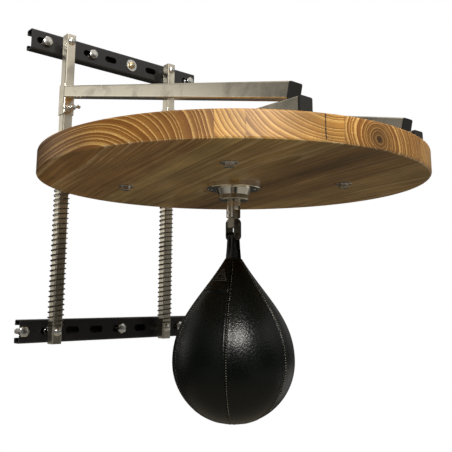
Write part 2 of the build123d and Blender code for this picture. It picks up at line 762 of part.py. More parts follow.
with BuildPart() as bag_cover:
    with BuildSketch(bag_plane):
        with BuildLine():
            bag_outline(0)
        make_face()
        with BuildLine():
            bag_outline(cover_thickness)
        make_face(mode=Mode.SUBTRACT)
    revolve(axis=bag_axis)
    with BuildSketch(swivel_axis.offset(bag_bottom_z)):
        Circle(valve_radius)
    extrude(amount=3 * cover_thickness, both=True, mode=Mode.SUBTRACT)
bag_cover.part.label = "bag_cover"
export_step(bag_cover.part, "parts/bag_cover.step")

bladder_inset = cover_thickness + bladder_gap
valve_outer = valve_radius - bladder_gap
with BuildPart() as bladder:
    with BuildSketch(bag_plane):
        with BuildLine():
            bag_outline(bladder_inset)
        make_face()
        with BuildLine():
            bag_outline(bladder_inset + bladder_thickness)
        make_face(mode=Mode.SUBTRACT)
    revolve(axis=bag_axis)
    with BuildSketch(swivel_axis.offset(bag_bottom_z + bladder_inset + bladder_thickness / 2)):
        Circle(valve_outer)
    extrude(amount=-(bladder_inset + bladder_thickness / 2))
    with BuildSketch(swivel_axis.offset(bag_bottom_z)):
        Circle(valve_bore)
    extrude(amount=bladder_inset + 2 * bladder_thickness, mode=Mode.SUBTRACT)
bladder.part.label = "bladder"
export_step(bladder.part, "parts/bladder.step")
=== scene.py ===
"""Looks for the wall-mounted speed bag platform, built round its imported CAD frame. Metres."""

import math

import bmesh
import bpy
import numpy as np
from mathutils import Euler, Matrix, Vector


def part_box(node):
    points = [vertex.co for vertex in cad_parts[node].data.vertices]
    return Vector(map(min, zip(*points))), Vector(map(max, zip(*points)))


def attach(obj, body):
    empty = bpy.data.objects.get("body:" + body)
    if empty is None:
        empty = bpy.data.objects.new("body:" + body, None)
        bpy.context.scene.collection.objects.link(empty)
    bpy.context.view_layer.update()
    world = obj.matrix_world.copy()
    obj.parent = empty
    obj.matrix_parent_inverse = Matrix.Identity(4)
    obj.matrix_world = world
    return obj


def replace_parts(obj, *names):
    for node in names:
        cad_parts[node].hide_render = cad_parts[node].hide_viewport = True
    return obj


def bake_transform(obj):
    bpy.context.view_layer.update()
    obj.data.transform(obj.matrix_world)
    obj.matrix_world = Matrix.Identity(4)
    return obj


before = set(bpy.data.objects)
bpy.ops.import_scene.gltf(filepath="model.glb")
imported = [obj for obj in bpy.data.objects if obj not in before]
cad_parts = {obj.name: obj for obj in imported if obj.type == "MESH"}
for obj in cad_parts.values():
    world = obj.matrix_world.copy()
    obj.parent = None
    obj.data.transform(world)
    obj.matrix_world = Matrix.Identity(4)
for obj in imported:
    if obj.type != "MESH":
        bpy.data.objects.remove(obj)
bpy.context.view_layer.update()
scene = bpy.context.scene


# ================================================================ stage
# A plain white studio: a pale floor under the platform, and a surround whose light and dark
# bands are what polished steel mirrors. A soft key light stands beside the camera, a wider
# and weaker one in the same place for the square tubes, and a broad one hangs on top.
scene.view_settings.view_transform = "Standard"

camera = bpy.data.objects.new("camera", bpy.data.cameras.new("camera"))
camera.data.sensor_width = 36
camera.data.lens = 50.93
camera.data.shift_x = -0.0045
camera.data.shift_y = -0.1152
camera.data.clip_start = 0.05
camera.location = (-0.67055, -1.12593, -0.21113)
camera.rotation_euler = Euler(
    (math.radians(90 + 10.854), math.radians(-0.066), math.radians(-41.787)), "XYZ")
scene.collection.objects.link(camera)
scene.camera = camera


def add(tree, kind, inputs=None, **settings):
    """A shader node of that kind: settings are its own, inputs are numbers or sockets."""
    node = tree.nodes.new("ShaderNode" + kind)
    for name, value in settings.items():
        setattr(node, name, value)
    for name, value in (inputs or {}).items():
        if isinstance(value, bpy.types.NodeSocket):
            tree.links.new(value, node.inputs[name])
        else:
            node.inputs[name].default_value = value
    return node


def ramp(tree, factor, stops, interpolation="LINEAR"):
    """The colour that a ramp of (position, grey or colour) stops gives for a factor."""
    node = add(tree, "ValToRGB", {"Fac": factor})
    elements = node.color_ramp.elements
    node.color_ramp.interpolation = interpolation
    while len(elements) < len(stops):
        elements.new(0.5)
    for element, (position, colour) in zip(elements, stops):
        colour = (colour,) * 3 if isinstance(colour, (int, float)) else colour
        element.position, element.color = position, (*colour, 1)
    return node.outputs["Color"]


def mixed(tree, factor, a, b, blend="MIX"):
    """Colour a mixed with colour b by a factor."""
    node = add(tree, "Mix", {0: factor}, data_type="RGBA", blend_type=blend)
    for index, value in ((6, a), (7, b)):
        if isinstance(value, bpy.types.NodeSocket):
            tree.links.new(value, node.inputs[index])
        else:
            node.inputs[index].default_value = (*value, 1)
    return node.outputs[2]


def tinted(tree, a, b):
    """Colour a multiplied by colour b."""
    return mixed(tree, 1.0, a, b, "MULTIPLY")


def math_of(tree, operation, a, b=0.0, c=0.0):
    """The result of one math operation on up to three values."""
    return add(tree, "Math", {0: a, 1: b, 2: c}, operation=operation).outputs[0]


world = bpy.data.worlds.new("studio")
scene.world = world
world.use_nodes = True
tree = world.node_tree
tree.nodes.clear()
direction = add(tree, "SeparateXYZ", {0: add(tree, "TexCoord").outputs["Generated"]})
heading = math_of(tree, "MULTIPLY_ADD", math_of(
    tree, "ARCTAN2", direction.outputs["Y"], direction.outputs["X"]), 0.5 / math.pi, 0.5)


def band(*stops):
    """Brightness round the horizon, as (degrees from +X, grey) stops."""
    return ramp(tree, heading, [((degrees + 180) / 360, grey) for degrees, grey in stops])


low = band((-180, 0.26), (-158, 0.30), (-145, 0.02), (-112, 0.02), (-95, 0.32), (-30, 0.30),
           (-10, 0.60), (12, 0.55), (26, 0.04), (80, 0.04), (140, 0.08), (165, 0.22),
           (180, 0.26))
level = band((-180, 0.10), (-155, 0.45), (-138, 0.04), (-112, 0.08), (-97, 0.55), (-82, 0.03),
             (-61, 0.02), (-54, 0.12), (-40, 0.45), (-24, 0.08), (-6, 0.28), (20, 0.30),
             (40, 0.07), (98, 0.05), (106, 0.15), (110, 1.0), (128, 1.0), (133, 0.70),
             (136, 0.05), (141, 0.12), (147, 0.22), (156, 0.06), (180, 0.10))
raised = band((-180, 0.25), (-120, 0.40), (-66, 0.62), (-53, 1.0), (-40, 0.60), (0, 0.15),
              (60, 0.30), (104, 0.35), (117, 0.42), (125, 0.40), (134, 0.14), (165, 0.12),
              (180, 0.25))
rise = math_of(tree, "MULTIPLY_ADD", direction.outputs["Z"], 0.5, 0.5)
surround = tinted(tree, level, ramp(tree, rise, ((0.48, 0.30), (0.58, 1.0))))
surround = mixed(tree, ramp(tree, rise, ((0.38, 0.0), (0.46, 1.0))), low, surround)
surround = mixed(tree, ramp(tree, rise, ((0.625, 0.0), (0.67, 1.0))), surround, raised)
surround = mixed(tree, ramp(tree, rise, ((0.78, 0.0), (0.88, 1.0))), surround,
                 (0.45, 0.44, 0.42))
surround = tinted(tree, surround, (1.0, 0.965, 0.90))
seen = add(tree, "LightPath").outputs["Is Camera Ray"]
sky = add(tree, "Background", {"Color": mixed(tree, seen, surround, (1, 1, 1))})
add(tree, "OutputWorld", {"Surface": sky.outputs[0]})


def soft_light(name, place, aim, size, power, tint=(1, 1, 1)):
    """A rectangular area light at a place, turned to face a point."""
    light = bpy.data.lights.new(name, "AREA")
    light.shape, light.energy, light.color = "RECTANGLE", power, tint
    light.size, light.size_y = size
    lamp = bpy.data.objects.new(name, light)
    lamp.location = place
    lamp.rotation_euler = (Vector(aim) - Vector(place)).to_track_quat("-Z", "Y").to_euler()
    scene.collection.objects.link(lamp)
    return lamp


def light_link(lamp, names, state):
    """The lamp lights only the named nodes ("INCLUDE") or all but them ("EXCLUDE")."""
    chosen = lamp.light_linking.receiver_collection = bpy.data.collections.new(lamp.name)
    for index, name in enumerate(names):
        chosen.objects.link(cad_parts[name])
        chosen.collection_objects[index].light_linking.link_state = state


tubes = [side + part for side in ("left_", "right_") for part in ("post", "beam", "brace")]
for name, size, power, state in (("key", (0.95, 0.50), 54, "EXCLUDE"),
                                 ("wide_key", (2.2, 1.6), 9, "INCLUDE")):
    light_link(soft_light(name, (-0.95, -2.0, 0.95), (0, -0.4, -0.1), size, power,
                          (1.0, 0.97, 0.92)), tubes, state)
soft_light("top", (0.1, -0.7, 2.3), (0, -0.4, 0), (1.6, 1.6), 12)


def new_material(name, **shader):
    """A material with one Principled shader; its inputs are named with underscores."""
    material = bpy.data.materials.new(name)
    material.use_nodes = True
    tree = material.node_tree
    tree.nodes.clear()
    surface = add(tree, "BsdfPrincipled")
    for key, value in shader.items():
        socket = surface.inputs[key.replace("_", " ")]
        socket.default_value = (*value, 1) if isinstance(value, tuple) else value
    add(tree, "OutputMaterial", {"Surface": surface.outputs[0]})
    return material, tree, surface


def stage_sheet(name, corners, material):
    """A flat four-sided piece of the stage."""
    mesh = bpy.data.meshes.new(name)
    mesh.from_pydata(corners, [], [(0, 1, 2, 3)])
    mesh.materials.append(material)
    sheet = bpy.data.objects.new(name, mesh)
    scene.collection.objects.link(sheet)


def show_instead(tree, surface, where, shader):
    """Shows another shader than the surface's own where a factor is 1."""
    shown = add(tree, "MixShader", {0: where, 1: surface.outputs[0], 2: shader.outputs[0]})
    tree.links.new(shown.outputs[0], tree.nodes["Material Output"].inputs["Surface"])


material, tree, surface = new_material("pale_floor", Base_Color=(0.40, 0.365, 0.30),
                                       Roughness=0.8)
show_instead(tree, surface, add(tree, "LightPath").outputs["Is Camera Ray"],
             add(tree, "Emission", {"Color": (1, 1, 1, 1), "Strength": 1.0}))
stage_sheet("floor", [(-2.6, -3, -1.9), (2.6, -3, -1.9), (2.6, 2.2, -1.9), (-2.6, 2.2, -1.9)],
            material)

# Two strips of dark sheet close behind the rails, seen only through the slots from in front:
# painted shade that stands in for the shaded wall behind the channel.
material, tree, surface = new_material("painted_shade_backing", Base_Color=(0.05, 0.045, 0.04),
                                       Roughness=0.7)
show_instead(tree, surface, add(tree, "NewGeometry").outputs["Backfacing"],
             add(tree, "BsdfTransparent"))
for name in ("upper_rail", "lower_rail"):
    low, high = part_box(name)
    left, right, down, up = low.x + 0.012, high.x - 0.012, low.z + 0.006, high.z - 0.006
    stage_sheet(name + "_wall", [(left, 0.001, down), (right, 0.001, down),
                                 (right, 0.001, up), (left, 0.001, up)], material)


# ================================================================ board
# The round rebound board: planks of ring-porous hardwood glued edge to edge, cut round,
# eased at both edges and varnished. The rim shows each plank's growth rings across the
# grain; the underside shows the planks' flat faces.
grain_heading = math.radians(73.5)       # the way the planks run, from +X
board_low, board_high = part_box("board")
board_centre = (board_low + board_high) / 2
# Each plank: its left edge across the board, the pith of its rings (across, height) in
# mm, its tone. The rings stand a few mm apart.
ring_pitch = 5.2
planks = (
    (-300, -270, -48, 0.00),
    (-150, -10, 95, 1.00),
    (-118, -10, 95, 0.50),
    (0, 55, -6, 0.06),
    (150, 270, 60, 0.45),
)


def smooth_by_angle(mesh, degrees):
    """Smooth shading, with edges sharper than an angle left sharp."""
    mesh.shade_smooth()
    mesh.set_sharp_from_angle(angle=math.radians(degrees))


def dress(material, *nodes, sharp=None):
    """Gives a material to CAD nodes, and smooth shading up to a sharp angle."""
    for name in nodes:
        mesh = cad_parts[name].data
        mesh.materials.clear()
        mesh.materials.append(material)
        if sharp:
            smooth_by_angle(mesh, sharp)


def times(tree, a, b):
    """Two values multiplied."""
    return math_of(tree, "MULTIPLY", a, b)


def plus(tree, a, b):
    """Two values added."""
    return math_of(tree, "ADD", a, b)


def distance(tree, x, y):
    """The length of (x, y)."""
    return math_of(tree, "SQRT", plus(tree, times(tree, x, x), times(tree, y, y)))


def object_place(tree):
    """Object coordinates."""
    return add(tree, "TexCoord").outputs["Object"]


def stretched(tree, place, factors):
    """A place with each coordinate multiplied by its own factor."""
    return add(tree, "VectorMath", {0: place, 1: factors}, operation="MULTIPLY").outputs[0]


def noise(tree, place, scale=1.0, detail=2.0, **inputs):
    """The grey of a noise texture at a place."""
    return add(tree, "TexNoise", {"Vector": place, "Scale": scale, "Detail": detail,
                                  **inputs}).outputs["Fac"]


def mapped(tree, value, to, span=(0, 1)):
    """A value's place in a span, carried over to another span."""
    return add(tree, "MapRange", {"Value": value, "From Min": span[0], "From Max": span[1],
                                  "To Min": to[0], "To Max": to[1]}).outputs[0]


def bump(tree, height, strength, distance=0.0002, **inputs):
    """The normal that a height gives."""
    return add(tree, "Bump", {"Height": height, "Strength": strength, "Distance": distance,
                              **inputs}).outputs[0]


def feed(tree, surface, **values):
    """Ties changing values to the shader's inputs, named with underscores."""
    for key, value in values.items():
        tree.links.new(value, surface.inputs[key.replace("_", " ")])


def varnished_wood():
    """Rings round each plank's pith, cut by the rim and the faces; pores, streaks, knot."""
    material, tree, surface = new_material("varnished_wood", Specular_IOR_Level=0.4)
    place = add(tree, "Mapping", {
        "Vector": object_place(tree),
        "Location": (*board_centre,),
        "Rotation": (0, 0, grain_heading - math.pi / 2),
        "Scale": (0.001, 0.001, 0.001),
    }, vector_type="TEXTURE").outputs[0]
    wander = add(tree, "TexNoise", {"Vector": stretched(tree, place, (0.007, 0.0028, 0.012)),
                                    "Scale": 1.0, "Detail": 1.5, "Roughness": 0.4})
    shift = add(tree, "VectorMath", {0: wander.outputs["Color"], 1: (0.5, 0.5, 0.5)},
                operation="SUBTRACT").outputs[0]
    bent = add(tree, "VectorMath", {0: shift, 1: (40.0, 0.0, 14.0), 2: place},
               operation="MULTIPLY_ADD").outputs[0]
    parts = add(tree, "SeparateXYZ", {0: bent})
    deep = add(tree, "SeparateXYZ", {0: place})
    across = deep.outputs["X"]

    # A stepped ramp across 640 mm gives each plank's pith and tone as one colour.
    step = math_of(tree, "MULTIPLY_ADD", across, 1 / 640, 0.5)
    stops = [((edge + 320) / 640 if edge > -300 else 0.0,
              ((u + 400) / 800, (z + 200) / 400, tone)) for edge, u, z, tone in planks]
    pith = add(tree, "SeparateColor", {0: ramp(tree, step, stops, "CONSTANT")})
    out_u = math_of(tree, "MULTIPLY_ADD", pith.outputs[0], -800.0, 400.0)
    out_z = math_of(tree, "MULTIPLY_ADD", pith.outputs[1], -400.0, 200.0)
    du = plus(tree, parts.outputs["X"], out_u)
    dz = plus(tree, parts.outputs["Z"], out_z)
    radius = distance(tree, du, dz)
    tone = pith.outputs[2]

    fine = noise(tree, stretched(tree, place, (1.3, 0.035, 1.3)), detail=4.0, Roughness=0.65)
    uneven = noise(tree, add(tree, "CombineXYZ", {
        0: times(tree, radius, 0.06), 1: tone}).outputs[0])
    ring = math_of(tree, "FRACT", plus(tree, times(tree, radius, 1 / ring_pitch),
                                       times(tree, uneven, 5.0)))
    early = ramp(tree, ring, ((0.0, 0.1), (0.05, 1.0), (0.16, 0.8), (0.34, 0.12), (1.0, 0.0)))
    late = ramp(tree, ring, ((0.55, 0.0), (0.93, 1.0), (1.0, 0.2)))

    # The underside is plain-sawn, and painted pale as painted fill light; the top has lost most
    # of its gloss.
    level = math_of(tree, "MULTIPLY_ADD", deep.outputs["Z"], 1 / 40, 0.5)
    flat = ramp(tree, level, ((0.06, 1.0), (0.12, 0.0)))
    worn = ramp(tree, level, ((0.90, 0.0), (0.94, 1.0)))
    rim_part = math_of(tree, "MULTIPLY_ADD", flat, -0.65, 1.0)
    early = times(tree, early, rim_part)
    late = times(tree, late, rim_part)
    ground = mixed(tree, tone, (0.21, 0.082, 0.012), (0.47, 0.235, 0.045))
    ground = mixed(tree, times(tree, late, 0.7), ground, (0.13, 0.045, 0.009))
    pale = times(tree, early, ramp(tree, fine, ((0.30, 0.35), (0.62, 1.0))))
    colour = mixed(tree, times(tree, pale, 0.75), ground, (0.76, 0.49, 0.17))
    streak = ramp(tree, fine, ((0.28, 0.72), (0.5, 1.0), (0.75, 1.12)))
    colour = tinted(tree, colour, streak)
    blotch = noise(tree, stretched(tree, place, (0.014, 0.006, 0.02)), detail=3.0)
    colour = tinted(tree, colour, ramp(tree, blotch, ((0.32, 0.70), (0.66, 1.16))))
    knot = ramp(tree, times(tree, radius, 0.02), ((0.03, 0.12), (0.10, 0.5), (0.55, 1.0)))
    colour = tinted(tree, colour, knot)

    # Painted fill light: the underside's colour is lifted far above the rim's, most in blue and
    # most on the darkest plank, standing in for the light that barely reaches it; the long
    # streaks in it are the plain-sawn figure.
    long = noise(tree, stretched(tree, bent, (0.15, 0.0035, 0.1)), detail=4.0, Roughness=0.6)
    under = mixed(tree, ramp(tree, long, ((0.30, 0.0), (0.68, 1.0))), (0.92, 1.18, 2.10),
                  (1.90, 2.60, 5.20))
    under = tinted(tree, under, ramp(tree, tone, ((0.0, 1.50), (0.06, 1.08), (0.5, 1.02),
                                                  (1.0, 1.06))))
    colour = mixed(tree, flat, colour, tinted(tree, colour, under))

    # Glue lines between planks, and one drying crack in the front rim.
    lines = None
    for edge, *_ in planks[1:]:
        gap = math_of(tree, "ABSOLUTE", math_of(tree, "SUBTRACT", across, float(edge)))
        line = ramp(tree, gap, ((0.25, 0.30), (0.9, 0.0)))
        lines = line if lines is None else math_of(tree, "MAXIMUM", lines, line)
    colour = mixed(tree, lines, colour, (0.10, 0.045, 0.015))

    crack_side = math_of(tree, "ABSOLUTE", plus(
        tree, parts.outputs["X"], math_of(tree, "MULTIPLY_ADD", fine, 5.0, 25.0)))
    crack = times(tree, ramp(tree, crack_side, ((0.8, 1.0), (1.5, 0.0))),
                  times(tree, math_of(tree, "GREATER_THAN", deep.outputs["Z"], -14.0),
                        math_of(tree, "LESS_THAN", deep.outputs["Y"], -285.0)))
    colour = mixed(tree, crack, colour, (0.03, 0.015, 0.008))
    pores = math_of(tree, "SUBTRACT", fine, times(tree, pale, 0.5))
    feed(tree, surface, Base_Color=colour, Roughness=mapped(tree, worn, (0.40, 0.80)),
         Normal=bump(tree, pores, 0.12, 0.0004))
    return material


dress(varnished_wood(), "board", sharp=50)


# ================================================================ square tubes
# Posts, sleeves, beams and braces: thin-walled square stainless tube with a drawn, lightly
# brushed surface, handled and stained. The sleeves slide on the posts; the beams and
# braces are welded to them.
def new_group(name, inputs, outputs):
    """A shader node group: inputs are name: default, outputs are named like the shader's
    own inputs. Gives the group, the sockets of its inputs, and its output node."""
    group = bpy.data.node_groups.new(name, "ShaderNodeTree")
    for key, value in inputs.items():
        kind = {1: "Float", 3: "Vector", 4: "Color"}[np.size(value)]
        socket = group.interface.new_socket(key, in_out="INPUT",
                                            socket_type="NodeSocket" + kind)
        socket.default_value = value
    for key in outputs:
        kind = {"Base Color": "Color", "Roughness": "Float", "Normal": "Vector"}[key]
        group.interface.new_socket(key, in_out="OUTPUT", socket_type="NodeSocket" + kind)
    given = group.nodes.new("NodeGroupInput").outputs
    return group, given, group.nodes.new("NodeGroupOutput")


def grouped_material(name, group, inputs, **shader):
    """A material with a group placed in it, each output tied to the shader's input of that
    name."""
    material, tree, surface = new_material(name, **shader)
    for socket in add(tree, "Group", inputs, node_tree=group).outputs:
        tree.links.new(socket, surface.inputs[socket.name])
    return material


# Drawn lines run along the axis with the small stretch; stains dull and darken the steel.
steel, given, end = new_group(
    "brushing", {"Stretch": (900, 900, 14), "Tint": (1, 1, 1, 1), "Polished": 0.1,
                 "Stained": 0.3}, ("Base Color", "Roughness", "Normal"))
place = object_place(steel)
lines = noise(steel, stretched(steel, place, given["Stretch"]), detail=3.0, Roughness=0.6)
stains = noise(steel, place, 22.0, 5.0, Roughness=0.6, Distortion=0.4)
wear = plus(steel, times(steel, lines, 0.5), times(steel, stains, 0.6))
clean = ramp(steel, stains, ((0.34, 0.0), (0.50, 1.0)))
dulled = tinted(steel, given["Tint"], (0.70, 0.70, 0.70))
feed(steel, end, Base_Color=mixed(steel, clean, dulled, given["Tint"]),
     Roughness=mapped(steel, wear, (given["Stained"], given["Polished"]), (0.3, 0.8)),
     Normal=bump(steel, lines, 0.10))

tube_tint = (0.93, 0.865, 0.72, 1)
upright_steel = grouped_material("upright_steel", steel, {
    "Stretch": (900, 900, 14), "Tint": tube_tint, "Polished": 0.22, "Stained": 0.36},
    Metallic=1.0)
reaching_steel = grouped_material("reaching_steel", steel, {
    "Stretch": (900, 14, 900), "Tint": tube_tint, "Polished": 0.10, "Stained": 0.26},
    Metallic=1.0)
dress(upright_steel, "left_post", "right_post", "left_upper_sleeve", "right_upper_sleeve",
      "left_lower_sleeve", "right_lower_sleeve")
dress(reaching_steel, "left_beam", "right_beam", "left_brace", "right_brace")


# ================================================================ rails
# Slotted channel, black gloss paint over steel with a faintly uneven skin.
material, tree, surface = new_material("gloss_black", Base_Color=(0.009, 0.009, 0.009),
                                       Roughness=0.36, Coat_Weight=0.3, Coat_Roughness=0.2)
skin = bump(tree, noise(tree, object_place(tree), 130.0, 3.0), 0.10, 0.0005)
feed(tree, surface, Normal=skin, Coat_Normal=skin)
dress(material, "upper_rail", "lower_rail", sharp=35)


# ================================================================ end caps
# Moulded black plastic caps pressed into the front ends of the beams and braces.
material, tree, surface = new_material("black_plastic", Base_Color=(0.010, 0.010, 0.0095),
                                       Roughness=0.42)
feed(tree, surface, Normal=bump(tree, noise(tree, object_place(tree), 900.0), 0.15))
dress(material, "beam_caps", "brace_caps")


# ================================================================ springs
# Round spring wire wound in a coil round each post, foot turn on the post bolt's head and
# head turn under the lower sleeve; both end turns are closed. Bare, oiled spring steel, painted
# near black as painted shade.
spring_wire = 0.0020
active_turns = 27
wire_sides, steps_per_turn = 8, 36


def sheet_of(points, closed_rows=False):
    """Vertices and quads of a grid of points given as an array [row, column, xyz], closed
    along each row."""
    rows, columns = points.shape[:2]
    i = np.arange(rows if closed_rows else rows - 1)[:, None]
    j = np.arange(columns)[None, :]
    k, m = (i + 1) % rows, (j + 1) % columns
    i, k, j, m = (np.broadcast_to(v, (i.size, j.size)) for v in (i, k, j, m))
    quads = np.stack([i * columns + j, i * columns + m, k * columns + m, k * columns + j], -1)
    return points.reshape(-1, 3), quads.reshape(-1, 4)


def joined(shapes):
    """Several (vertices, quads) shapes as one."""
    vertices, quads, count = [], [], 0
    for points, faces in shapes:
        vertices.append(points)
        quads.append(faces + count)
        count += len(points)
    return np.concatenate(vertices), np.concatenate(quads)


def make_piece(name, shape, material, body=None, sharp=35):
    """A mesh object from a shape, welded at its poles, facing outwards, smooth by angle."""
    vertices, quads = shape
    mesh = bpy.data.meshes.new(name)
    mesh.from_pydata(vertices.tolist(), [], quads.tolist())
    work = bmesh.new()
    work.from_mesh(mesh)
    bmesh.ops.remove_doubles(work, verts=work.verts, dist=1e-6)
    bmesh.ops.dissolve_degenerate(work, edges=work.edges, dist=1e-6)
    bmesh.ops.recalc_face_normals(work, faces=work.faces)
    work.to_mesh(mesh)
    work.free()
    smooth_by_angle(mesh, sharp)
    mesh.materials.append(material)
    piece = bpy.data.objects.new(name, mesh)
    scene.collection.objects.link(piece)
    if body:
        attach(piece, body)
    return piece


def tube_along(path, radius, sides, closed=False):
    """Round tube along a line of points: each ring stands square to the line, its first
    axis turned from the vertical, and its ends come to a point on the line."""
    path = np.asarray(path, float)
    ahead = np.roll(path, -1, 0) - np.roll(path, 1, 0)
    if not closed:
        ahead[0], ahead[-1] = path[1] - path[0], path[-1] - path[-2]
    ahead /= np.linalg.norm(ahead, axis=1)[:, None]
    guide = np.where(np.abs(ahead[:, 2:3]) > 0.9, [[1.0, 0, 0]], [[0, 0, 1.0]])
    side = np.cross(ahead, guide)
    side /= np.linalg.norm(side, axis=1)[:, None]
    up = np.cross(side, ahead)
    turn = np.linspace(0, 2 * math.pi, sides, endpoint=False)
    radius = np.broadcast_to(np.asarray(radius, float), len(path))[:, None, None]
    rings = path[:, None] + radius * (
        np.cos(turn)[None, :, None] * side[:, None] + np.sin(turn)[None, :, None] * up[:, None])
    if not closed:
        rings = np.concatenate([np.repeat(path[:1, None], sides, 1), rings,
                                np.repeat(path[-1:, None], sides, 1)])
    return sheet_of(rings, closed_rows=closed)


def coil_path(low, high):
    """Centre line of the wire in a CAD spring's box: R (cos a, sin a) round the post, where
    the height rises evenly with a between one closed turn at each end."""
    middle, ring = (low + high) / 2, (high.x - low.x - spring_wire) / 2
    turns = active_turns + 2
    t = np.linspace(0, turns, turns * steps_per_turn + 1)
    closed = 1.04 * spring_wire
    active = (high.z - low.z - spring_wire - 2 * closed) / active_turns
    rise = closed * (np.minimum(t, 1) + np.maximum(t - 1 - active_turns, 0))
    rise += active * np.clip(t - 1, 0, active_turns)
    return np.stack([middle.x + ring * np.cos(2 * math.pi * t),
                     middle.y + ring * np.sin(2 * math.pi * t),
                     low.z + spring_wire / 2 + rise], 1)


shade_darkened_spring_steel, tree, surface = new_material("shade_darkened_spring_steel", Metallic=1.0, Roughness=0.45)
# Painted shade: the base colours are near black, far darker than bare steel; the rust noise only
# mottles the wire between these two dark shades.
rust = ramp(tree, noise(tree, object_place(tree), 60.0, 4.0), ((0.42, 0.0), (0.62, 1.0)))
feed(tree, surface, Base_Color=mixed(tree, rust, (0.045, 0.038, 0.028), (0.11, 0.095, 0.075)))
for side in ("left", "right"):
    low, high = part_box(f"{side}_spring")
    wire = make_piece(f"{side}_spring_wire",
                      tube_along(coil_path(low, high), spring_wire / 2, wire_sides),
                      shade_darkened_spring_steel)
    middle = (low + high) / 2
    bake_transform(wire)
    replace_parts(wire, f"{side}_spring")


# ================================================================ fasteners
# Zinc-plated hex bolts, nuts and washers with chamfered heads and cut threads, domed
# carriage heads on the posts, and one brass bolt. Plain stock parts, tightened by hand.
def turned(profile, sides=48):
    """Surface of revolution about Z of (radius, height) points: (r cos a, r sin a, h)."""
    turn = np.linspace(0, 2 * math.pi, sides, endpoint=False)
    radius, height = np.asarray(profile, float).T
    return sheet_of(np.stack([radius[:, None] * np.cos(turn), radius[:, None] * np.sin(turn),
                              np.repeat(height[:, None], sides, 1)], -1))


def hexagon(across, height, bore=0.0, both=False, sides=96):
    """Hexagonal block from 0 to height on Z. Its radius at angle a is the smaller of q and
    (across / 2) / cos(a from the nearest flat's middle); where q passes the flats the end
    falls away at 30 degrees, which is the chamfer."""
    apothem = across / 2
    turn = np.linspace(0, 2 * math.pi, sides, endpoint=False) + math.pi / 6
    from_flat = np.mod(turn, math.pi / 3) - math.pi / 6
    corner = apothem / np.cos(from_flat)
    start = 0.95 * apothem

    def end_rows(level, down):
        """Rings of one chamfered end, from the bore outwards."""
        rows = []
        for q in (bore, start, 1.02 * apothem, 1.07 * apothem, 1.12 * apothem, 1.16 * apothem):
            r = np.minimum(q, corner)
            fall = np.maximum(r - start, 0) * math.tan(math.radians(30)) * down
            rows.append(np.stack([r * np.cos(turn), r * np.sin(turn), level - fall], 1))
        return rows

    top = end_rows(height, 1)
    if both:
        bottom = end_rows(0.0, -1)
    else:
        flat = [np.full(sides, bore), corner]
        bottom = [np.stack([r * np.cos(turn), r * np.sin(turn), 0 * r], 1) for r in flat]
    rows = top + bottom[::-1]
    if bore:
        rows.append(rows[0])
    return sheet_of(np.array(rows))


def threaded(radius, length, pitch, sides=24):
    """Threaded shank from 0 to length on Z: the radius falls by 0.54 of the pitch in a V
    that climbs one pitch in each turn, and fades out at the chamfered end."""
    rows = int(length / pitch * 6) + 1
    z = np.linspace(0, length, rows)[:, None]
    turn = np.linspace(0, 2 * math.pi, sides, endpoint=False)[None]
    saw = np.abs(np.mod(z / pitch - turn / (2 * math.pi), 1) - 0.5) * 2
    r = radius - 0.54 * pitch * (1 - saw)
    r = np.minimum(r, radius - 0.6 * pitch + (length - z))
    points = np.stack([r * np.cos(turn), r * np.sin(turn), z + 0 * turn], -1)
    ends = [np.broadcast_to([0, 0, h], (1, sides, 3)) for h in (0.0, length)]
    return sheet_of(np.concatenate([ends[0], points, ends[1]]))


def placed(shape, origin, z_axis, spin=0.0):
    """The shape with its Z turned along an axis, spun about it, and moved to a point."""
    z = np.asarray(z_axis, float)
    x = np.cross((0, 0, 1.0), z) if abs(z[2]) < 0.9 else np.array((1.0, 0, 0))
    x /= np.linalg.norm(x)
    y = np.cross(z, x)
    u, v = x * math.cos(spin) + y * math.sin(spin), y * math.cos(spin) - x * math.sin(spin)
    return shape[0] @ np.array([u, v, z]) + np.asarray(origin, float), shape[1]


# Plating or mill finish: slightly patchy in colour, gloss and height.
plate, given, end = new_group("patches", {"Tint": (1, 1, 1, 1), "Roughness": 0.3},
                              ("Base Color", "Roughness", "Normal"))
patchy = noise(plate, object_place(plate), 180.0, 4.0)
dulled = tinted(plate, given["Tint"], (0.65, 0.65, 0.65))
feed(plate, end, Base_Color=mixed(plate, patchy, dulled, given["Tint"]),
     Roughness=mapped(plate, patchy, (plus(plate, given["Roughness"], 0.12),
                                      plus(plate, given["Roughness"], -0.08))),
     Normal=bump(plate, patchy, 0.12))


def plated_metal(name, tint, roughness):
    """Metal with the patches group in it."""
    return grouped_material(name, plate, {"Tint": (*tint, 1), "Roughness": roughness},
                            Metallic=1.0)


zinc = plated_metal("zinc_plate", (0.84, 0.83, 0.79), 0.22)
brass = plated_metal("brass", (0.80, 0.66, 0.40), 0.28)
room, wall = (0, -1, 0), (0, 1, 0)          # the ways that fasteners point
down, up = (0, 0, -1), (0, 0, 1)
m8_radius, m8_bore, m8_pitch, m8_flats = 0.004, 0.0042, 0.00125, 0.013
m10_radius, m10_bore, m10_pitch = 0.005, 0.0052, 0.0015


def solids_of(node):
    """(lowest, highest) corners of each separate solid of a CAD node, ordered by place."""
    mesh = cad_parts[node].data
    work = bmesh.new()
    work.from_mesh(mesh)
    bmesh.ops.remove_doubles(work, verts=work.verts, dist=1e-6)
    left, found = set(work.verts), []
    while left:
        queue, group = [left.pop()], []
        while queue:
            vertex = queue.pop()
            group.append(vertex.co.copy())
            for edge in vertex.link_edges:
                other = edge.other_vert(vertex)
                if other in left:
                    left.discard(other)
                    queue.append(other)
        points = np.array(group)
        found.append((Vector(points.min(0)), Vector(points.max(0))))
    work.free()
    return sorted(found, key=lambda c: (round(c[0].x, 3), round(c[0].y, 3), round(c[0].z, 3)))


def in_place_of(node, name, shapes, material, body):
    """Puts one piece, made of several shapes, in a CAD node's place."""
    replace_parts(make_piece(name, joined(shapes), material, body), node)


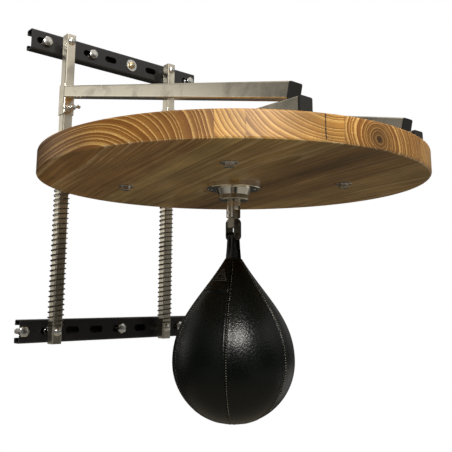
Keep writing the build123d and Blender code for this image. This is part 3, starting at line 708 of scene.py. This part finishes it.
# Hex bolts through the rails: head, washer face and a threaded shank.
rail_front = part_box("upper_rail")[0].y
for node in ("upper_wall_bolts", "lower_wall_bolts"):
    shapes = []
    for index, (low, high) in enumerate(solids_of(node)):
        middle, head, across = (low + high) / 2, rail_front - low.y, high.z - low.z
        seat, face, round_face = (middle.x, rail_front, middle.z), 0.0005, 0.46 * across
        shapes += [
            placed(hexagon(across, head - face), (middle.x, rail_front - face, middle.z), room,
                   0.35 * index),
            placed(turned(((0, 0), (round_face, 0), (round_face, face), (0, face))), seat, room),
            placed(threaded(m10_radius, high.y - rail_front, m10_pitch), seat, wall)]
    in_place_of(node, node.replace("bolts", "hex_bolts"), shapes, zinc, "wall_frame")


# Post bolts: low domed heads on the posts' fronts, hex spacers to the rail, and lock nuts.
def dome(radius, height):
    """Profile of a domed head: the middle of its seat, then r cos a, h sin a."""
    return [(0, 0)] + [(radius * math.cos(a), height * math.sin(a))
                       for a in np.linspace(0.0, math.pi / 2, 12)]


shapes = []
dome_radius, dome_height = 0.008, 0.005
post_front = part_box("left_post")[0].y
for low, high in solids_of("post_bolts"):
    middle = (low + high) / 2
    seat = (middle.x, post_front, middle.z)
    shapes += [placed(turned(dome(dome_radius, dome_height)), seat, room),
               placed(threaded(m8_radius, high.y - post_front, m8_pitch), seat, wall)]
in_place_of("post_bolts", "post_dome_bolts", shapes, zinc, "wall_frame")


def hex_blocks(node, bore):
    """A bored hexagonal block for each solid of a node that lies along Y."""
    return [placed(hexagon(high.z - low.z, high.y - low.y, bore, True),
                   ((low.x + high.x) / 2, high.y, (low.z + high.z) / 2), room)
            for low, high in solids_of(node)]


for part in ("spacers", "nuts"):
    in_place_of(f"post_{part}", f"post_hex_{part}", hex_blocks(f"post_{part}", m8_bore),
                zinc, "wall_frame")

# Brass bolt with a domed head on a wide plated washer.
low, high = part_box("brass_bolt")
middle, washer_front = (low + high) / 2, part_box("brass_washer")[0].y
seat = (middle.x, washer_front, middle.z)
shapes = [placed(turned(dome((high.x - low.x) / 2, washer_front - low.y)), seat, room),
          placed(threaded(m10_radius, high.y - washer_front, m10_pitch), seat, wall)]
in_place_of("brass_bolt", "brass_dome_bolt", shapes, brass, "wall_frame")


def washer(outer, bore, thickness):
    """Flat washer on Z with edges eased by an eighth of its thickness."""
    e = 0.12 * thickness
    return turned(((bore, e), (bore + e, 0), (outer - e, 0), (outer, e),
                   (outer, thickness - e), (outer - e, thickness), (bore + e, thickness),
                   (bore, thickness - e), (bore, e)), 64)


low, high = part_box("brass_washer")
shape = placed(washer((high.x - low.x) / 2, m10_bore, high.y - low.y),
               ((low.x + high.x) / 2, high.y, (low.z + high.z) / 2), room)
in_place_of("brass_washer", "brass_bolt_washer", [shape], zinc, "wall_frame")

# Board bolts: heads and washers under the board, nuts on the beams.
bolts, washers, nuts = [], [], []
for index, (low, high) in enumerate(solids_of("board_bolts")):
    middle = (low + high) / 2
    washer_low, washer_high = solids_of("board_washers")[index]
    nut_low, nut_high = solids_of("board_nuts")[index]
    seat = (middle.x, middle.y, washer_low.z)
    bolts += [placed(hexagon(m8_flats, washer_low.z - low.z), seat, down, 0.5 * index),
              placed(threaded(m8_radius, high.z - washer_low.z, m8_pitch), seat, up)]
    washers.append(placed(washer((washer_high.x - washer_low.x) / 2, m8_bore,
                                 washer_high.z - washer_low.z),
                          (middle.x, middle.y, washer_high.z), down))
    nuts.append(placed(hexagon(m8_flats, nut_high.z - nut_low.z, m8_radius, True),
                       (middle.x, middle.y, nut_low.z), up, 0.3 * index))
for kind, node, parts in (("hex", "bolts", bolts), ("flat", "washers", washers),
                          ("hex", "nuts", nuts)):
    in_place_of(f"board_{node}", f"board_{kind}_{node}", parts, zinc, "carriage")


# ================================================================ clamps
# The screw that locks each upper sleeve on its post: an M8 thread in a welded nut, a round
# hub, and a sliding tommy bar with a pressed knob at both ends. Plated steel.
for side in ("left", "right"):
    low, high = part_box(f"{side}_clamp_screw")
    post_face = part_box(f"{side}_post")[0].y
    middle = (low + high) / 2
    bar_low, bar_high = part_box(f"{side}_clamp_bar")
    r, hub_length, chamfer, rounding = (high.x - low.x) / 2, 0.012, 0.0012, 0.0025
    hub_back = low.y + hub_length
    hub = turned([(0, 0), (r - chamfer, 0), (r, chamfer), (r, 0.0032), (r - 0.0005, 0.0036),
                  (r, 0.0040), (r, hub_length - rounding)]
                 + [(r - rounding * (1 - math.cos(a)),
                     hub_length - rounding + rounding * math.sin(a))
                    for a in np.linspace(0.2, math.pi / 2, 6)] + [(0, hub_length)])
    shapes = [placed(threaded(m8_radius, post_face - hub_back, m8_pitch),
                     (middle.x, post_face, middle.z), room),
              placed(hub, (middle.x, hub_back, middle.z), room)]
    in_place_of(f"{side}_clamp_screw", f"{side}_clamp_thread", shapes, zinc,
                f"{side}_clamp")

    tilt = math.radians({"left": 18.0, "right": -32.0}[side])
    along = Vector((math.cos(tilt), 0, math.sin(tilt)))
    knob, bar, half, tip = 0.00375, 0.00225, 0.01175, 0.01625   # radii, then half lengths
    profile = [(0, -tip), (0.0026, -tip), (knob, -tip + 0.0011), (knob, -half - 0.0008),
               (knob - 0.0008, -half), (bar + 0.0002, -half), (bar, -half + 0.0004)]
    profile += [(radius, -height) for radius, height in profile[::-1]]
    shape = placed(turned(profile, 32), (bar_low + bar_high) / 2, along)
    in_place_of(f"{side}_clamp_bar", f"{side}_tommy_bar", [shape], zinc,
                f"{side}_clamp")

in_place_of("clamp_nuts", "welded_nuts", hex_blocks("clamp_nuts", m8_radius), zinc,
            "carriage")


# ================================================================ swivel
# A turned and polished flange with a conical hub and a collar, screwed up to the board.
# The spindle's fork hangs in its ball bearing and holds a flat tongue, a pair of dark
# link plates and two headed pins.
swivel_axis = (board_centre.x, board_centre.y, 0)

# Fine rings round the swivel's axis, as the lathe leaves them.
lathe, given, end = new_group("lathe_rings", {"Rings per Metre": 3500.0}, ("Normal",))
x, y, z = add(lathe, "SeparateXYZ", {0: add(lathe, "VectorMath", {
    0: object_place(lathe), 1: swivel_axis}, operation="SUBTRACT").outputs[0]}).outputs
radius = distance(lathe, x, y)
rings = noise(lathe, add(lathe, "CombineXYZ", {
    0: times(lathe, radius, given[0]), 1: times(lathe, z, given[0])}).outputs[0])
feed(lathe, end, Normal=bump(lathe, rings, 0.12))

bright_steel = grouped_material("turned_steel", lathe, {}, Metallic=1.0,
                                Base_Color=(0.80, 0.75, 0.64), Roughness=0.07)
collar_steel = grouped_material("collar_steel", lathe, {}, Metallic=1.0,
                                Base_Color=(0.50, 0.46, 0.37), Roughness=0.24)
dress(bright_steel, "swivel_flange", "spindle", sharp=30)
dress(bright_steel, "bearing_outer_ring", "bearing_inner_ring")
dress(collar_steel, "swivel_collar", sharp=30)
dress(zinc, "spindle_nut", "tongue_pin")
forged = plated_metal("forged_steel", (0.50, 0.46, 0.37), 0.38)
gunmetal = plated_metal("gunmetal", (0.13, 0.12, 0.10), 0.36)
dress(forged, "tongue", sharp=30)
dress(gunmetal, "front_link_plate", "rear_link_plate", sharp=30)

# Link pins: a plain shank with a domed head at both ends.
for node in ("upper_link_pin", "lower_link_pin"):
    low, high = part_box(node)
    middle, end = (low + high) / 2, (high.y - low.y) / 2
    head, head_height, shank = (high.x - low.x) / 2, 0.0025, 0.0025
    half = [(head * math.cos(a) ** 0.6, end - head_height + head_height * math.sin(a) ** 1.2)
            for a in np.linspace(0.0, math.pi / 2, 10)]
    half = [(shank, end - head_height)] + half
    profile = [(r, -h) for r, h in half[::-1]] + half
    in_place_of(node, node.replace("pin", "rivet"), [placed(turned(profile, 32), middle, room)],
                gunmetal, "link")

# Flange screws: dark countersunk heads with a round socket, a little below the face.
shapes = []
for low, high in solids_of("flange_screws"):
    middle, face = (low + high) / 2, low.z + 0.0006
    head = turned(((0, 0.0024), (0.0016, 0.0024), (0.0018, 0), (0.0036, 0),
                   (0.00225, 0.0016), (0.00225, high.z - face), (0, high.z - face)), 32)
    shapes.append(placed(head, (middle.x, middle.y, face), up))
in_place_of("flange_screws", "countersunk_screws", shapes, gunmetal, "carriage")


# ================================================================ bag
# The pear-shaped bag: six leather gores sewn together over a rubber bladder, blown up
# hard. A reinforced lacing patch covers the top of one gore. Black cowhide, pale thread.
gores = 6
first_seam = math.radians(220.3)
columns_per_gore, shoulder_rows, belly_rows = 40, 96, 70
cover_low, cover_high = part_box("bag_cover")
bag_radius = (cover_high.x - cover_low.x) / 2
widest, neck_radius = -0.3055, 0.0133
neck_slope = math.radians(31.5)
neck_pull, belly_pull = 0.0679, 0.0628       # the shoulder curve's handles
patch_foot, patch_thickness = -0.2035, 0.0012
patch_gore = (first_seam - math.radians(60), first_seam)


def bag_outline(steps_above, steps_below):
    """Half outline (radius, height): a cubic shoulder curve that leaves the neck on its
    slope and reaches the widest ring upright, then a quarter oval to the bottom."""
    neck, belly = np.array((neck_radius, cover_high.z)), np.array((bag_radius, widest))
    pull = neck + neck_pull * np.array((math.sin(neck_slope), -math.cos(neck_slope)))
    lift = belly + np.array((0, belly_pull))
    t = np.linspace(0, 1, steps_above)[:, None]
    shoulder = ((1 - t) ** 3 * neck + 3 * (1 - t) ** 2 * t * pull
                + 3 * (1 - t) * t ** 2 * lift + t ** 3 * belly)
    a = np.linspace(0, math.pi / 2, steps_below + 1)[1:, None]
    oval = np.hstack([bag_radius * np.cos(a), widest - (widest - cover_low.z) * np.sin(a)])
    return np.vstack([shoulder, oval])


def soft_step(value, start, end):
    """0 up to start, 1 from end on, and t^2 (3 - 2t) between."""
    t = np.clip((value - start) / (end - start), 0, 1)
    return t * t * (3 - 2 * t)


def hump(away, width):
    """A rounded ridge: 1 on its crest, falling off as exp(-(x/w)^2) on both sides."""
    return np.exp(-(away / width) ** 2)


def bag_relief(angle, radius, height):
    """How far the leather stands out from the outline at a place. The seams are pressed in,
    with a low ridge beside them where the turned-in edge lies and fine puckers beside that;
    the patch has its thickness and two sewn ridges along its foot."""
    pitch = 2 * math.pi / gores
    part = np.mod(angle - first_seam + pitch / 2, pitch) - pitch / 2
    from_seam = np.abs(part) * radius
    groove = 0.0011 * hump(from_seam, 0.0009)
    turned_edge = 0.00045 * hump(from_seam - 0.0030, 0.0016)
    pucker_pitch = 0.0075
    puckers = 0.00007 * hump(from_seam - 0.0045, 0.0035) * np.sin(
        height * 2 * math.pi / pucker_pitch + 3 * np.sin(angle * 7))
    out = (turned_edge + puckers - groove) * soft_step(radius, 0.008, 0.03)

    inside = soft_step(np.mod(angle - patch_gore[0], 2 * math.pi) * radius, 0.0, 0.0014)
    inside *= soft_step(np.mod(patch_gore[1] - angle, 2 * math.pi) * radius, 0.0, 0.0014)
    inside *= np.mod(angle - patch_gore[0], 2 * math.pi) < pitch
    patch = patch_thickness * soft_step(height, patch_foot - 0.0006, patch_foot + 0.0006)
    for above_foot, tall in ((0.0012, 0.0015), (0.0066, 0.0013)):
        patch = patch + tall * hump(height - patch_foot - above_foot, 0.0013)
    return out + inside * patch


def round_axis(radius, angle, height):
    """Points at radii, angles and heights round the bag's upright axis."""
    return np.stack(np.broadcast_arrays(board_centre.x + radius * np.cos(angle),
                                        board_centre.y + radius * np.sin(angle), height), -1)


outline = bag_outline(shoulder_rows, belly_rows)
spread = 0.5 - 0.5 * np.cos(np.linspace(0, math.pi, columns_per_gore, endpoint=False))
angles = np.concatenate([first_seam + (k + spread) * 2 * math.pi / gores
                         for k in range(gores)])
radii, heights = outline[:, :1], outline[:, 1:]
steps = np.gradient(outline, axis=0)
steps /= np.linalg.norm(steps, axis=1)[:, None]
outwards = np.stack([-steps[:, 1], steps[:, 0]], 1)
relief_grid = bag_relief(angles[None], radii, heights)
relief_grid *= soft_step(radii, 0.0, 0.012)
r = radii + outwards[:, :1] * relief_grid
z = heights + outwards[:, 1:] * relief_grid
points = round_axis(np.vstack([np.zeros_like(r[:1]), r]), angles, np.vstack([z[:1], z]))

# Leather grain: small irregular cells pressed in, finer pores between, and a sheen that
# changes a little from place to place.
grain, given, end = new_group("leather_grain", {"Roughness": 0.25}, ("Roughness", "Normal"))
place = object_place(grain)
cells = add(grain, "TexVoronoi", {"Vector": place, "Scale": 520.0, "Randomness": 0.9},
            feature="SMOOTH_F1").outputs["Distance"]
wide = noise(grain, place, 330.0)
pores = math_of(grain, "SUBTRACT", noise(grain, place, 520.0), times(grain, cells, 0.6))
feed(grain, end,
     Roughness=mapped(grain, wide, (plus(grain, given["Roughness"], -0.04),
                                    plus(grain, given["Roughness"], 0.06)), (0.3, 0.7)),
     Normal=bump(grain, wide, 0.5, 0.0006, Normal=bump(grain, pores, 0.5, 0.0005)))

leather = grouped_material("black_leather", grain, {"Roughness": 0.25},
                           Base_Color=(0.0016, 0.0026, 0.0022), Specular_IOR_Level=0.25)
bag = make_piece("leather_gores", sheet_of(points), leather, "bag", 60)
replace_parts(bag, "bag_cover", "bladder")


def radius_at(height):
    """The outline's radius at a height; the outline runs from the neck down."""
    return np.interp(height, outline[::-1, 1], outline[::-1, 0])


def on_bag(angle, height, lift):
    """Points at angles and heights on the outline, moved off it by a lift."""
    lean = (radius_at(height + 1e-4) - radius_at(height - 1e-4)) / 2e-4
    size = np.sqrt(1 + lean ** 2)
    r, z = radius_at(height) + lift / size, height - lift * lean / size
    return round_axis(r, angle, z)


# Seam stitches: short pale stitches along one side of each seam, sunk at both ends.
thread, tree, surface = new_material("pale_thread", Base_Color=(0.30, 0.28, 0.22),
                                     Roughness=0.7)
feed(tree, surface, Normal=bump(tree, noise(tree, object_place(tree), 2500.0), 0.4))


def stitches(line, pitch=0.0035, length=0.0020, thickness=0.00036):
    """Stitches along a line of points: each a short arched tube, pointed at both ends."""
    line = np.asarray(line, float)
    run = np.concatenate([[0], np.cumsum(np.linalg.norm(np.diff(line, axis=0), axis=1))])
    shapes = []
    for start in np.arange(pitch / 2, run[-1] - length, pitch):
        t = start + length * np.linspace(0, 1, 5)
        path = np.stack([np.interp(t, run, line[:, k]) for k in range(3)], 1)
        away = path - np.array((board_centre.x, board_centre.y, path[2, 2]))
        away /= np.linalg.norm(away, axis=1)[:, None]
        arch = np.array((-0.0004, 0.00005, 0.0002, 0.00005, -0.0004))[:, None]
        shapes.append(tube_along(path + away * arch,
                                 thickness * np.array((0.6, 1, 1, 1, 0.6)), 6))
    return shapes


shapes = []
seam_heights = np.linspace(cover_high.z - 0.004, cover_low.z + 0.0035, 400)
least, aside = 0.014, 0.0016                 # smallest radius sewn, distance from the seam
seam_heights = seam_heights[radius_at(seam_heights) > least]
for k in range(gores):
    seam = first_seam + k * 2 * math.pi / gores
    shapes += stitches(on_bag(seam + aside / radius_at(seam_heights), seam_heights, 0.0001))
make_piece("seam_stitches", joined(shapes), thread, "bag")

# The patch's triangle, two dark sewn cords one inside the other, by its corners' degrees
# round the bag and heights.
corners = np.array(((193.0, -0.1706), (168.0, -0.1881), (211.0, -0.1885)))
shapes = []
for scale, thick in ((1.0, 0.0012), (0.55, 0.0010)):
    middle = corners.mean(0)
    ring = middle + (corners - middle) * scale
    line = np.concatenate([np.linspace(ring[k], ring[(k + 1) % 3], 24, endpoint=False)
                           for k in range(3)])
    path = on_bag(np.radians(line[:, 0]), line[:, 1], 0.0009)
    shapes.append(tube_along(path, thick, 8, closed=True))
# The cords' base colour is far paler than the leather's: painted highlight that stands in for
# light caught on their raised edges.
cord = grouped_material("sewn_cord_painted_highlight", grain, {"Roughness": 0.45},
                        Base_Color=(0.045, 0.044, 0.038), Specular_IOR_Level=0.25)
make_piece("patch_triangle", joined(shapes), cord, "bag")

# Rolled leather edge at the neck.
roll_radius, roll_thickness = 0.0115, 0.0012
ring = round_axis(roll_radius, np.linspace(0, 2 * math.pi, 72, endpoint=False),
                  cover_high.z - roll_thickness / 2)
make_piece("neck_roll", tube_along(ring, roll_thickness, 12, closed=True), leather,
           "bag")


# ================================================================ hanging loop
# A leather strap folded over the link's lower pin, its two legs spread and sewn into the
# bag's neck; the outer leg is creased down its middle and stitched at its foot.
strap_width, strap_thickness = 0.0160, 0.0034
strap_low, strap_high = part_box("leather_loop")
pin_low, pin_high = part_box("lower_link_pin")
pin_middle = (pin_low + pin_high) / 2
loop_radius = strap_high.z - pin_middle.z - strap_thickness / 2
foot_x = (strap_high.x - strap_low.x) / 2 - strap_thickness / 2
drop = pin_middle.z - strap_low.z
leg_steps = 26


def strap_line():
    """The strap's middle line (x, z) from one foot over the pin to the other: a straight
    leg, tangent to the circle round the pin, an arc over it, and the mirrored leg."""
    reach = math.hypot(foot_x, drop)
    touch = math.atan2(-drop, foot_x) + math.acos(loop_radius / reach)
    arc = np.linspace(touch, math.pi - touch, leg_steps)
    over = loop_radius * np.stack([np.cos(arc), np.sin(arc)], 1)
    leg = np.linspace((foot_x, -drop - 0.004), over[0], leg_steps, endpoint=False)
    return np.concatenate([leg, over, leg[::-1] * (-1, 1)])


def strap_surface():
    """The strap: a rounded rectangle, (|u|/a)^6 + (|v|/b)^6 = 1, carried along its line.
    Each leg's outer face has a crease whose width narrows downwards, -k (1 - |u|/w)."""
    line = strap_line()
    ahead = np.gradient(line, axis=0)
    ahead /= np.linalg.norm(ahead, axis=1)[:, None]
    outward = np.stack([ahead[:, 1], -ahead[:, 0]], 1)
    turn = np.linspace(0, 2 * math.pi, 56, endpoint=False)
    c, q = np.cos(turn), np.sin(turn)
    size = (np.abs(c) ** 6 + np.abs(q) ** 6) ** (-1 / 6)
    u, v = strap_width / 2 * c * size, strap_thickness / 2 * q * size
    grip = soft_step(line[:, 1], -drop, -drop + 0.02)[:, None]
    lower = np.clip((line[:, 1:] + drop) / drop, 0, 1)
    width = 0.0004 + 0.0030 * lower
    crease = 0.0011 * np.clip(1 - np.abs(u)[None] / width, 0, 1) * (v[None] > 0)
    crease = crease * soft_step(line[:, 1:], -drop + 0.006, -drop + 0.012)
    crease = crease * soft_step(-line[:, 1:], 0.000, 0.006)
    across = u[None] * (1.08 - 0.08 * grip)
    depth = v[None] - crease
    x = pin_middle.x + line[:, :1] + outward[:, :1] * depth
    z = pin_middle.z + line[:, 1:] + outward[:, 1:] * depth
    rows = np.stack([x, pin_middle.y + across, z], -1)
    ends = [np.broadcast_to(rows[k].mean(0), (1,) + rows[k].shape) for k in (0, -1)]
    return sheet_of(np.concatenate([ends[0], rows, ends[1]]))


loop = make_piece("strap_loop", strap_surface(), leather, "bag", 40)
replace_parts(loop, "leather_loop")
leg = strap_line()[-leg_steps:]
leg = leg[(leg[:, 1] < -drop + 0.016) & (leg[:, 1] > -drop + 0.001)]
path = np.stack([pin_middle.x + leg[:, 0] - strap_thickness / 2 - 0.0001,
                 np.full(len(leg), pin_middle.y), pin_middle.z + leg[:, 1]], 1)
make_piece("strap_stitches", joined(stitches(path, 0.0030, 0.0020)), thread,
           "bag")
